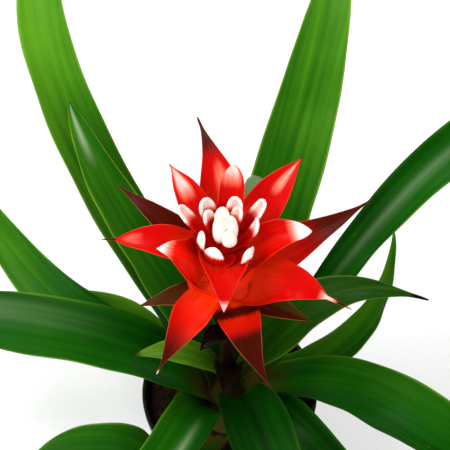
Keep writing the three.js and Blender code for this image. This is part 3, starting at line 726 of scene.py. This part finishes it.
def fields_of(spec, across, along):
    """What the materials read: the place on the blade, its shade and its light and dark parts, which hold
    painted light, sheen and shadow as well as the blade's own colours.
    """
    w, l, m = across[None, :], along[:, None], spec["across"]
    flat = 0 * (w + l)
    shade, rise, tilt = spec["shade"]
    under = np.concatenate([np.zeros(m + 1), [0.5], np.ones(m + 1), [0.5]])
    fields = {"across": w + flat, "along": l + flat, "under": under[None, :] + flat,
              "shade": shade + rise * (l - 0.5) + tilt * w, "pale": flat, "dark": flat}
    if spec["pale"]:
        low, high, soft, strength, spread, aside = spec["pale"]
        sides = 1 - smooth((np.abs(w - aside) - spread + 0.3) / 0.6)
        fields["pale"] = strength * window(l, low, high, soft) * sides
    if spec["dark"]:
        low, soft, strength = spec["dark"]
        fields["dark"] = strength * smooth((l - low + soft) / (2 * soft)) + flat
    # gloom: a band of painted shadow, written into the dark field
    if spec["gloom"]:
        low, high, soft, strength = spec["gloom"]
        fields["dark"] = np.maximum(fields["dark"], strength * window(l, low, high, soft))
    return {key: values.ravel() for key, values in fields.items()}


def blade(name, spec, seed):
    """One grown blade: a gutter-shaped sheet, thick at the middle, with thin round margins."""
    n, m, half = spec["stations"], spec["across"], spec["half"]
    phase = np.random.default_rng(seed).uniform(0, TURN, 4)
    t = 1 - (1 - np.linspace(0, 1, n)) ** spec["crowd"]
    at, along = spine_of(spec, t)
    first, last = spec["spine"][0][0], spec["spine"][3][0]
    facing = np.radians(first + (last - first) * t)
    side = np.stack([np.cos(facing), -np.sin(facing), np.zeros(n)], 1)
    side = unit(side - along * (side * along).sum(1)[:, None])
    up = np.cross(side, along)

    foot_reach = spec["spine"][0][1]
    wrap = spec.get("wrap", min(1.15, 17 / foot_reach))
    past = np.clip((t - spec["widest"]) / (1 - NIB_LEAD * spec["nib"][0] - spec["widest"]), 0, 1)
    width = width_of(spec, t, foot_reach * wrap, past, phase[:2])
    curl = wrap + (spec["cup"] - wrap) * smooth(t / 0.4)
    if spec["full"] > 0.5:
        curl = curl * (1 - 0.5 * past)
    radius = width / curl
    gauge = spec["thick"] * (0.35 + 0.65 * np.minimum(1, width / (0.5 * half)))

    # the sheath bends round the axis, and is free of it past t = sheath
    free = smooth(t / spec["sheath"]) if spec["sheath"] else np.ones(n)
    reach = np.hypot(at[:, 0] - spec["axis"], at[:, 1])
    inward = np.stack([(spec["axis"] - at[:, 0]) / reach, -at[:, 1] / reach, np.zeros(n)], 1)
    up = unit(up * free[:, None] + inward * (1 - free)[:, None])
    radius = reach * (1 - free) + radius * free
    if spec["sheath"]:
        curl = wrap * (1 - free) + curl * free

    s = np.linspace(-1, 1, m + 1)
    u = 0.45 * s + 0.55 * np.sin(0.5 * math.pi * s)
    phi = u[None, :] * (curl[:, None] + np.where(u < 0, *spec["lap"])[None, :] * (1 - free)[:, None])
    side, up, radius = side[:, None, :], up[:, None, :], radius[:, None]
    out = up * np.cos(phi)[..., None] - side * np.sin(phi)[..., None]
    mid = at[:, None, :] + side * (radius * np.sin(phi))[..., None]
    mid = mid + up * (radius * (1 - np.cos(phi)))[..., None]
    mid = drop_margins(spec, t, u, phi, mid + out * relief_of(spec, t, u, width, phase[2:])[..., None])

    round_margin = spec["margin"] + (1 - spec["margin"]) * np.sqrt(np.clip(1 - u ** 2, 0, 1))
    depth = 0.5 * gauge[:, None] * round_margin[None, :]
    keel = KEEL * spec["thick"] * np.exp(-((u / KEEL_HALF) ** 2))[None, :] * (1 - 0.6 * t)[:, None]
    top, under = mid + out * depth[..., None], mid - out * (depth + keel)[..., None]
    edge = side * np.cos(phi)[..., None] + up * np.sin(phi)[..., None]
    left = mid[:, :1] - edge[:, :1] * depth[:, :1, None]
    right = mid[:, -1:] + edge[:, -1:] * depth[:, -1:, None]
    points = np.concatenate([top, right, under[:, ::-1], left], 1)

    size = points.shape[1]
    length = np.concatenate([[0], np.cumsum(np.linalg.norm(np.diff(at, axis=0), axis=1))])
    across = np.concatenate([u, [1], u[::-1], [-1]])
    map_across = np.maximum(width, radius[:, 0] * curl)[:, None] * across[None, :]
    grain = np.stack([map_across.ravel() * MM + 0.37 * seed, np.repeat(length, size) * MM + 0.11 * seed], 1)
    faces = ring_faces([range(i * size, (i + 1) * size) for i in range(n)])
    for start in (0, (n - 1) * size):
        left_mid, right_mid = start + size - 1, start + m + 1
        over = [left_mid, *range(start, start + m + 1), right_mid]
        below = [left_mid, *range(start + size - 2, start + m + 1, -1), right_mid]
        for j in range(len(over) - 1):
            faces.append(tuple(dict.fromkeys((over[j], over[j + 1], below[j + 1], below[j]))))
    fields = fields_of(spec, across, length / length[-1])
    return mesh_object(name, points.reshape(-1, 3) * MM, faces, fields, grain)


def seed_of(name):
    return sum(ord(c) * (i + 3) for i, c in enumerate(name)) % 97


def grow(base, blades, skin):
    for name, spec in blades.items():
        settle(blade(name + "_blade", dict(base, **spec), seed_of(name)), name, skin)


# ---------------------------------------------------------------- pot, soil, stem and buds
def wall_radius(z):
    """Outer radius of the pot's straight wall."""
    return BASE_R + (WALL_TOP_R - BASE_R) / (WALL_TO - WALL_FROM) * (z - WALL_FROM)


def pot_body(name, rim):
    """The pot's turned wall: a rounded rim band, two beads and a foot ring, with drain holes cut through."""
    lip, foot = rim - RIM_LIP, BASE_R - WALL
    outside = [*FOOT_RING, (BASE_R - 1.6, 0), *arc(BASE_R - 1.5, 1.5, 1.5, -80, -5, 4)]
    for z in BEADS:
        crest = wall_radius(z) + BEAD_RISE
        outside += [(wall_radius(z - BEAD_HALF), z - BEAD_HALF), (crest, z - 0.5), (crest, z + 0.5),
                    (wall_radius(z + BEAD_HALF), z + BEAD_HALF)]
    outside += [(WALL_TOP_R, BAND_H - 1.8), *arc(rim - 1.2, BAND_H + 0.9, 0.9, -90, 0, 4)]
    rounding = arc(rim - 1, RIM_H - 1, 1, 0, 90, 6) + arc(lip + 0.7, RIM_H - 0.7, 0.7, 90, 180, 5)
    inside = [(lip, BAND_H + 0.6), (WALL_TOP_R - WALL, BAND_H - 1.6), (foot + 1, FLOOR + 1.5)]
    inside += [(foot - 1, FLOOR), (20, FLOOR), (0, FLOOR)]
    pot = turned(name, outside + rounding + inside, POT_SIDES)
    drills = bmesh.new()
    for x, y, z in ring(DRAIN_AT, 0, 2 * DRAIN_COUNT)[1::2]:
        made = bmesh.ops.create_cone(drills, cap_ends=True, segments=28, radius1=DRAIN_R * MM,
                                     radius2=DRAIN_R * MM, depth=0.02)
        bmesh.ops.translate(drills, verts=made["verts"], vec=(x, y, z))
    mesh = bpy.data.meshes.new("drills")
    drills.to_mesh(mesh)
    drills.free()
    tool = linked("drills", mesh)
    cut = pot.modifiers.new("drain_holes", "BOOLEAN")
    cut.operation, cut.object, cut.solver = "DIFFERENCE", tool, "EXACT"
    bake_modifiers(pot)
    bpy.data.objects.remove(tool)
    pot.data.set_sharp_from_angle(angle=POT_CREASE)
    return pot


def rough_height(x, y, size, seed):
    """Two sizes of lump, from about -1.5 to 1.5."""
    lumps = noise.noise(Vector((x / size, y / size, seed)))
    return lumps + 0.5 * noise.noise(Vector((2.3 * x / size, 2.3 * y / size, seed + 7)))


def soil_height(reach):
    return float(np.interp(reach, *zip(*SOIL_LEVELS)))


def soil_body(name):
    """The root ball, with an uneven top."""
    def wall(z):
        return wall_radius(z - FLOOR + WALL_FROM) - WALL - SOIL_GAP

    reach, low = wall(SOIL_TOP - 5), FLOOR + 0.3
    profile = [(0, low), (wall(FLOOR), low)] + [(wall(z), z) for z in range(10, 90, 8)]
    profile += [(r, soil_height(r)) for r in (reach * k / SOIL_RINGS for k in range(SOIL_RINGS, -1, -1))]
    body = turned(name, profile, SOIL_SIDES)
    for v in body.data.vertices:
        x, y, z = v.co
        if z > (SOIL_TOP - 7) * MM:
            inside = min(1, (reach + 1 - math.hypot(x, y) / MM) / 3)
            v.co.z += MM * 0.9 * rough_height(x, y, 0.006, 3) * inside
        else:
            v.co.x *= 1 - 0.006 * abs(rough_height(x + z, y, 0.008, 5))
            v.co.y *= 1 - 0.006 * abs(rough_height(v.co.x + z, y, 0.008, 9))
    return body


def scatter_tree(name, shape, settings):
    """A node tree that strews small rough lumps of one shape over a surface."""
    tree = bpy.data.node_groups.new(name, "GeometryNodeTree")
    for label, kind, value in (("Surface", "Geometry", None), ("Density", "Float", 1000.0),
                               ("Size", "Float", 0.002), ("Flatness", "Float", 0.5), ("Seed", "Int", 0),
                               ("Skin", "Material", None)):
        socket = tree.interface.new_socket(label, in_out="INPUT", socket_type="NodeSocket" + kind)
        if value is not None:
            socket.default_value = value
    tree.interface.new_socket("Lumps", in_out="OUTPUT", socket_type="NodeSocketGeometry")
    g = Nodes(tree)

    def given(label):
        return g.node("NodeGroupInput", output=label)

    def vary(low, high):
        inputs = {0: low, 1: high, "Seed": given("Seed")}
        return g.node("FunctionNodeRandomValue", {"data_type": "FLOAT_VECTOR"}, inputs)

    def vector(operation, inputs):
        return g.node("ShaderNodeVectorMath", {"operation": operation}, inputs)

    spots = g.node("GeometryNodeDistributePointsOnFaces", None,
                   {"Mesh": given("Surface"), "Density": given("Density"), "Seed": given("Seed")}, "Points")
    size = vector("SCALE", {0: vary((0.45, 0.35, 0.3), (1.5, 1.1, 0.8)), "Scale": given("Size")})
    flat = g.node("ShaderNodeCombineXYZ", None, {0: 1, 1: 1, 2: given("Flatness")})
    lumps = g.node("GeometryNodeInstanceOnPoints", None, {
        "Points": spots, "Instance": g.node(shape, None, settings, "Mesh"),
        "Rotation": vary((-0.5, -0.5, 0), (0.5, 0.5, TURN)),
        "Scale": vector("MULTIPLY", {0: size, 1: flat})})
    real = g.node("GeometryNodeRealizeInstances", None, {0: lumps})
    place = g.node("GeometryNodeInputPosition")
    grain = g.node("ShaderNodeTexNoise", None, {"Vector": place, "Scale": 700}, "Color")
    push = vector("SCALE", {0: vector("SUBTRACT", {0: grain, 1: (0.5, 0.5, 0.5)}), "Scale": 0.0016})
    rough = g.node("GeometryNodeSetPosition", None, {"Geometry": real, "Offset": push})
    skin = g.node("GeometryNodeSetMaterial", None, {"Geometry": rough, "Material": given("Skin")})
    g.node("NodeGroupOutput", None, {"Lumps": skin})
    return tree


def strewn(name, tree, **values):
    """Lumps strewn on the open ring of soil between the plant's stock and the pot's wall."""
    points = []
    for i in range(BED_RINGS + 1):
        reach = BED_FROM + (BED_TO - BED_FROM) * i / BED_RINGS
        points += ring(reach, soil_height(reach) + BED_LIFT, BED_SIDES)
    faces = ring_faces([range(i * BED_SIDES, (i + 1) * BED_SIDES) for i in range(BED_RINGS + 1)])
    mesh = bpy.data.meshes.new(name)
    mesh.from_pydata(points, [], [(face[0], *face[:0:-1]) for face in faces])  # wound to face upwards
    made = linked(name, mesh)
    nodes = made.modifiers.new("strew", "NODES")
    nodes.node_group = tree
    sockets = {item.name: item.identifier for item in tree.interface.items_tree if item.in_out == "INPUT"}
    for key, value in values.items():
        nodes[sockets[key]] = value
    bake_modifiers(made)
    return made


def stem_body(name):
    """The stock in the soil and the flower stalk, one piece, with faint ridges and joints."""
    low, high = STEM[0][0], STEM[-1][0]
    heights = np.arange(low, high + STEM_STEP / 2, STEM_STEP)
    known, radii, middles = zip(*STEM)
    radius, middle = np.interp(heights, known, radii), np.interp(heights, known, middles)
    for _ in range(3):
        radius[1:-1] = 0.25 * radius[:-2] + 0.5 * radius[1:-1] + 0.25 * radius[2:]
    points, rings = [(middle[0] * MM, 0, low * MM)], [[0]]
    for z, r, x in zip(heights, radius, middle):
        joint = 0.22 * math.exp(-(((z - 150) % 34 - 17) / 2) ** 2) if 130 < z < 250 else 0
        rings.append(range(len(points), len(points) + STEM_SIDES))
        for k in range(STEM_SIDES):
            turn = TURN * k / STEM_SIDES
            here = r + joint + 0.10 * math.cos(7 * turn + 0.02 * z)
            points.append(((x + here * math.cos(turn)) * MM, here * math.sin(turn) * MM, z * MM))
    rings.append([len(points)])
    points.append((middle[-1] * MM, 0, (heights[-1] + 0.5) * MM))
    along = [0, *np.repeat((heights - low) / (heights[-1] - low), STEM_SIDES), 1]
    return mesh_object(name, points, ring_faces(rings), {"along": along})


def bud_body(name, spec):
    """A closed bud: an egg with a blunt point and overlapping sepals."""
    x, y, z, radius, half, lean = spec
    twist, lean = 0.7 * seed_of(name), math.radians(lean)
    points, along, seam = [(0, 0, half * 1.02)], [1], [0.6]
    for i in range(1, BUD_RINGS):
        fall = math.pi * i / BUD_RINGS
        reach = radius * math.sin(fall) ** 0.82 * (1 - 0.10 * math.cos(fall))
        for k in range(BUD_SIDES):
            turn = TURN * k / BUD_SIDES
            sweep = (turn + twist + 1.1 * (1 - i / BUD_RINGS)) * BUD_SEPALS / TURN
            off = sweep - round(sweep)
            groove = math.exp(-(abs(off) / BUD_SEPALS * TURN / 0.10) ** 2) * math.sin(fall) ** 0.5
            here = reach - 0.22 * groove + 0.16 * off * math.sin(fall)
            points.append((here * math.cos(turn), here * math.sin(turn), half * math.cos(fall)))
            along.append(0.5 + 0.5 * math.cos(fall))
            seam.append(groove)
    points, along, seam = points + [(0, 0, -half)], along + [0], seam + [0]
    starts = range(1, len(points) - 1, BUD_SIDES)
    rings = [[0], *(range(start, start + BUD_SIDES) for start in starts), [len(points) - 1]]
    cos, sin = math.cos(lean), math.sin(lean)
    placed = [((FLOWER_X + x + px) * MM, (y + py * cos - pz * sin) * MM, (z + py * sin + pz * cos) * MM)
              for px, py, pz in points]
    return mesh_object(name, placed, ring_faces(rings), {"along": along, "seam": seam})


# ---------------------------------------------------------------- operators
class GrowOperator:
    bl_options = {"REGISTER", "UNDO"}


class BROMELIAD_OT_pot(GrowOperator, bpy.types.Operator):
    """Turn the nursery pot and drill its drain holes"""
    bl_idname = "bromeliad.pot"
    bl_label = "Pot"

    def execute(self, context):
        look = context.scene.bromeliad_pot
        settle(pot_body("nursery_pot", look.rim_radius / MM), "pot", pot_finish(look))
        return {"FINISHED"}


class BROMELIAD_OT_soil(GrowOperator, bpy.types.Operator):
    """Fill the pot with peat, crumbs and bark"""
    bl_idname = "bromeliad.soil"
    bl_label = "Soil"

    def execute(self, context):
        look = context.scene.bromeliad_pot
        peat, bark = soil_finish("peat", look, look.dry_peat), soil_finish("bark", look, look.bark)
        settle(soil_body("peat_soil"), "soil", peat)
        crumb = scatter_tree("strew_crumbs", "GeometryNodeMeshIcoSphere", {"Radius": 1, "Subdivisions": 1})
        chip = scatter_tree("strew_chips", "GeometryNodeMeshCube", {"Size": (2, 1.3, 1), "Vertices X": 3,
                                                                    "Vertices Y": 2, "Vertices Z": 2})
        for name, tree, skin, density, size, flatness, seed in (
            ("peat_crumbs", crumb, peat, look.crumbs, 0.0013, 0.8, 4),
            ("bark_chips", chip, bark, look.chips, 0.0024, 0.4, 11),
        ):
            piece = strewn(name, tree, Density=float(density), Size=size, Flatness=flatness, Seed=seed,
                           Skin=skin)
            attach(piece, BODY)
        return {"FINISHED"}


class BROMELIAD_OT_stem(GrowOperator, bpy.types.Operator):
    """Grow the stock and the flower stalk"""
    bl_idname = "bromeliad.stem"
    bl_label = "Stem"

    def execute(self, context):
        skin = stem_finish(context.scene.bromeliad_foliage, context.scene.bromeliad_flower)
        settle(stem_body("flower_stem"), "stem", skin)
        return {"FINISHED"}


class BROMELIAD_OT_leaves(GrowOperator, bpy.types.Operator):
    """Grow the rosette of strap leaves"""
    bl_idname = "bromeliad.leaves"
    bl_label = "Leaves"

    def execute(self, context):
        grow(LEAF, LEAVES, leaf_finish(context.scene.bromeliad_foliage))
        return {"FINISHED"}


class BROMELIAD_OT_stalk_leaves(GrowOperator, bpy.types.Operator):
    """Grow the small leaves that clasp the flower stalk"""
    bl_idname = "bromeliad.stalk_leaves"
    bl_label = "Stalk Leaves"

    def execute(self, context):
        grow(STALK_LEAF, STALK_LEAVES, stalk_leaf_finish(context.scene.bromeliad_foliage))
        return {"FINISHED"}


class BROMELIAD_OT_star_bracts(GrowOperator, bpy.types.Operator):
    """Open the star of long pointed bracts"""
    bl_idname = "bromeliad.star_bracts"
    bl_label = "Star Bracts"

    def execute(self, context):
        grow(BRACT, STAR_BRACTS, bract_finish(context.scene.bromeliad_flower))
        return {"FINISHED"}


class BROMELIAD_OT_inner_bracts(GrowOperator, bpy.types.Operator):
    """Set the short hooded bracts round the buds"""
    bl_idname = "bromeliad.inner_bracts"
    bl_label = "Inner Bracts"

    def execute(self, context):
        grow(HOOD, INNER_BRACTS, hood_finish(context.scene.bromeliad_flower))
        return {"FINISHED"}


class BROMELIAD_OT_buds(GrowOperator, bpy.types.Operator):
    """Set the cream buds in the middle of the flower"""
    bl_idname = "bromeliad.buds"
    bl_label = "Buds"

    def execute(self, context):
        skin = bud_finish(context.scene.bromeliad_flower)
        for name, spec in BUDS.items():
            settle(bud_body(name + "_egg", spec), name, skin)
        return {"FINISHED"}


def softbox(name, place, size, power, lights):
    """A square lamp, which lights only the matt colour of things or shows only in their gloss."""
    light = bpy.data.lights.new(name, "AREA")
    light.shape, light.size, light.energy = "SQUARE", size, power
    made = linked(name, light)
    made.location = place
    made.rotation_euler = (LAMPS_AIM - Vector(place)).to_track_quat("-Z", "Y").to_euler()
    made.visible_glossy, made.visible_diffuse = lights == "gloss", lights == "matt"


def studio_world():
    """White room light from all round, which shows only faintly in the gloss of the leaves."""
    world = bpy.data.worlds.new("studio")
    world.use_nodes = True
    room = Nodes(world.node_tree)
    level = room.node("ShaderNodeMapRange", None, {
        "Value": room.node("ShaderNodeLightPath", output="Is Glossy Ray"),
        "To Min": ROOM_LIGHT, "To Max": ROOM_IN_GLOSS})
    sky = world.node_tree.nodes["Background"]
    room.feed(sky.inputs["Color"], (1, 1, 1))
    room.feed(sky.inputs["Strength"], level)
    return world


class BROMELIAD_OT_stage(GrowOperator, bpy.types.Operator):
    """Lay the floor, hang the lights and set up the camera"""
    bl_idname = "bromeliad.stage"
    bl_label = "Stage"

    def execute(self, context):
        scene, look = context.scene, context.scene.bromeliad_stage
        mesh = bpy.data.meshes.new("floor")
        corners = [(x * FLOOR_HALF, y * FLOOR_HALF, 0) for x, y in ((-1, -1), (1, -1), (1, 1), (-1, 1))]
        mesh.from_pydata(corners, [], [(0, 1, 2, 3)])
        floor = linked("floor", mesh)
        mesh.materials.append(floor_finish(look))
        scene.world = studio_world()
        for lamp in LAMPS:
            softbox(*lamp)
        camera = bpy.data.cameras.new("camera")
        camera.lens, camera.sensor_width = look.lens, SENSOR
        eye = linked("camera", camera)
        away = Vector((0, -math.cos(look.elevation), math.sin(look.elevation)))
        eye.location = CAMERA_AIM + away * look.distance
        eye.rotation_euler = (math.pi / 2 - look.elevation, 0, 0)
        scene.camera = eye
        scene.view_settings.view_transform = "Standard"
        return {"FINISHED"}


class BROMELIAD_PT_panel(bpy.types.Panel):
    bl_label = "Bromeliad"
    bl_idname = "BROMELIAD_PT_panel"
    bl_space_type = "VIEW_3D"
    bl_region_type = "UI"
    bl_category = "Bromeliad"

    def draw(self, context):
        for group in SETTINGS:
            box = self.layout.box()
            for key in SETTINGS[group].__annotations__:
                box.prop(getattr(context.scene, group), key)
        for step in STEPS:
            self.layout.operator(step.bl_idname)


SETTINGS = {
    "bromeliad_pot": PotSettings,
    "bromeliad_foliage": FoliageSettings,
    "bromeliad_flower": FlowerSettings,
    "bromeliad_stage": StageSettings,
}
STEPS = (
    BROMELIAD_OT_stage, BROMELIAD_OT_pot, BROMELIAD_OT_soil, BROMELIAD_OT_stem, BROMELIAD_OT_leaves,
    BROMELIAD_OT_stalk_leaves, BROMELIAD_OT_star_bracts, BROMELIAD_OT_inner_bracts, BROMELIAD_OT_buds,
)
CLASSES = (*SETTINGS.values(), *STEPS, BROMELIAD_PT_panel)


def register():
    for kind in CLASSES:
        bpy.utils.register_class(kind)
    for key, group in SETTINGS.items():
        setattr(bpy.types.Scene, key, PointerProperty(type=group))


def unregister():
    for key in SETTINGS:
        delattr(bpy.types.Scene, key)
    for kind in reversed(CLASSES):
        bpy.utils.unregister_class(kind)


def main():
    register()
    for step in STEPS:
        family, verb = step.bl_idname.split(".")
        getattr(getattr(bpy.ops, family), verb)()


if __name__ == "__main__":
    main()
